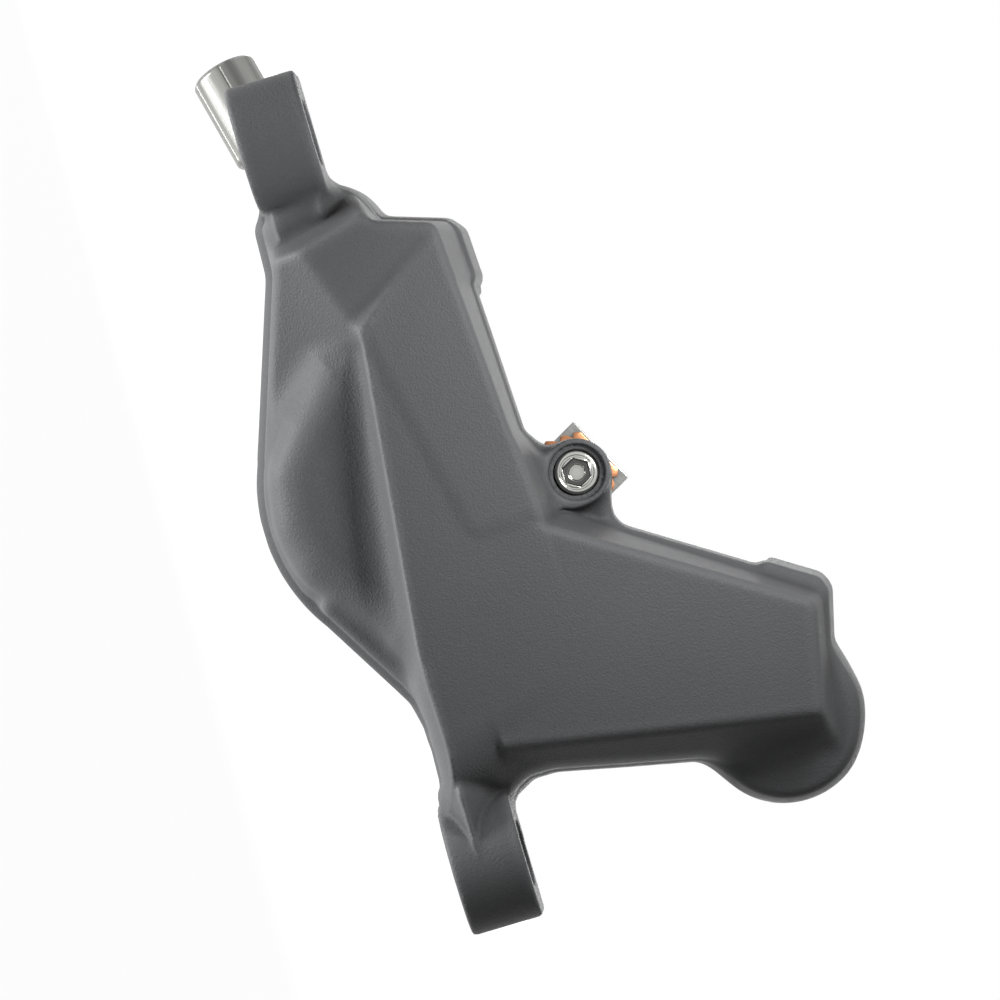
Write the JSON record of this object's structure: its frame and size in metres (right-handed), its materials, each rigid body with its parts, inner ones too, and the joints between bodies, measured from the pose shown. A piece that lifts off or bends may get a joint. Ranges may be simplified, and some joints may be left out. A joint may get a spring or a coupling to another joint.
{
  "type": "bicycle disc brake caliper",
  "caption": "Hydraulic post-mount disc brake caliper in two bolted halves, with opposed pistons, brake pads on a pin, pad spring, bleed screw and banjo hose fitting.",
  "frame": {"origin": "in the rotor's mid-plane, level with the seats of the post mounts and midway between the two posts", "axes": "+X down the pitch from the upper ear to the lower ear, +Y along the rotor's axis towards the wheel, +Z along the post bolts towards their heads"},
  "size_m": [0.0922, 0.0516, 0.0521],
  "materials": {
    "body": "fine-grained satin dark grey anodised cast aluminium",
    "bolt": "dark zinc-plated steel",
    "seal": "smooth rubber",
    "piston": "moulded phenolic",
    "plate": "bright stamped steel",
    "lining": "rough pressed friction compound",
    "spring": "copper-coloured sprung sheet",
    "pin": "turned steel",
    "rubber": "moulded rubber",
    "fitting": "bright turned stainless steel",
    "washer": "soft copper",
    "brass": "turned brass"
  },
  "bodies": {
    "caliper": {"outer_half": "body", "inner_half": "body", "body_bolts": "bolt", "crossover_seal": "seal", "outer_leading_seal": "seal", "outer_trailing_seal": "seal", "inner_leading_seal": "seal", "inner_trailing_seal": "seal", "pad_spring": "spring", "pad_pin": "pin", "pin_clip": "pin", "bleed_screw": "bolt", "bleed_cap": "rubber", "banjo_bolt": "fitting", "banjo_washers": "washer"},
    "outer_pad": {"outer_pad_plate": "plate", "outer_lining": "lining"},
    "inner_pad": {"inner_pad_plate": "plate", "inner_lining": "lining"},
    "outer_leading_piston": {"outer_leading_piston": "piston"},
    "outer_trailing_piston": {"outer_trailing_piston": "piston"},
    "inner_leading_piston": {"inner_leading_piston": "piston"},
    "inner_trailing_piston": {"inner_trailing_piston": "piston"},
    "hose_end": {"banjo": "fitting", "hose_nut": "fitting", "hose_olive": "brass", "hose_barb": "fitting"}
  },
  "joints": [
    {"name": "outer_pad_slide", "type": "slide", "parent": "caliper", "child": "outer_pad", "axis": [0, 1, 0], "range_m": [0, 0.0012], "stiffness_N_per_m": 2000, "deforming": ["pad_spring"]},
    {"name": "inner_pad_slide", "type": "slide", "parent": "caliper", "child": "inner_pad", "axis": [0, -1, 0], "range_m": [0, 0.0012]},
    {"name": "outer_leading_piston_slide", "type": "slide", "parent": "caliper", "child": "outer_leading_piston", "axis": [0, 1, 0], "range_m": [0, 0.0012]},
    {"name": "outer_trailing_piston_slide", "type": "slide", "parent": "caliper", "child": "outer_trailing_piston", "axis": [0, 1, 0], "range_m": [0, 0.0012]},
    {"name": "inner_leading_piston_slide", "type": "slide", "parent": "caliper", "child": "inner_leading_piston", "axis": [0, -1, 0], "range_m": [0, 0.0012]},
    {"name": "inner_trailing_piston_slide", "type": "slide", "parent": "caliper", "child": "inner_trailing_piston", "axis": [0, -1, 0], "range_m": [0, 0.0012]},
    {"name": "banjo_swivel", "type": "hinge", "parent": "caliper", "child": "hose_end", "pos_m": [-0.028, 0.0186, 0.0036], "axis": [0, 1, 0], "range_deg": [-20, 20]}
  ],
  "couplings": [
    {"joint": "inner_pad_slide", "follows": "outer_pad_slide", "ratio": 1},
    {"joint": "outer_leading_piston_slide", "follows": "outer_pad_slide", "ratio": 1},
    {"joint": "outer_trailing_piston_slide", "follows": "outer_pad_slide", "ratio": 1},
    {"joint": "inner_leading_piston_slide", "follows": "outer_pad_slide", "ratio": 1},
    {"joint": "inner_trailing_piston_slide", "follows": "outer_pad_slide", "ratio": 1}
  ]
}
